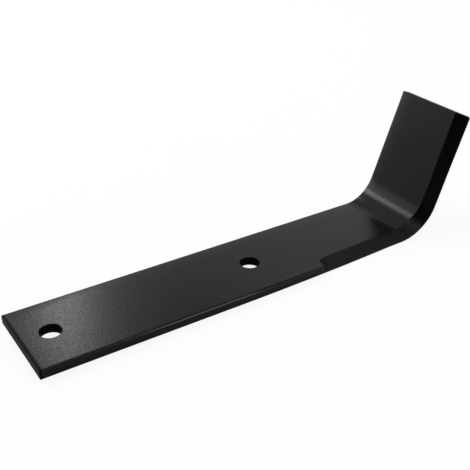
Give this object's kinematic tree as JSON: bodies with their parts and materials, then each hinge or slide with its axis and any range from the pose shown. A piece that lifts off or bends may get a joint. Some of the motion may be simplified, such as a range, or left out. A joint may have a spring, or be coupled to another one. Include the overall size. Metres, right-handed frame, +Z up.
{
  "type": "rotary tiller blade",
  "caption": "Flat steel tiller blade with bolt holes, bent up into a wing at one end, with a cutting bevel ground along its front edge.",
  "frame": {"origin": "on the underside of the flat bar, on the axis of the bolt hole nearest the square end", "axes": "+X along the bar from the square end towards the bend and the wing, +Y across the bar towards its straight back edge, +Z up through the bar, the way the wing rises"},
  "size_m": [0.3081, 0.06, 0.0833],
  "materials": {
    "black_coating": "satin black coating on forged steel, with a fine grain"
  },
  "bodies": {
    "root": {"blade": "black_coating"}
  },
  "joints": []
}
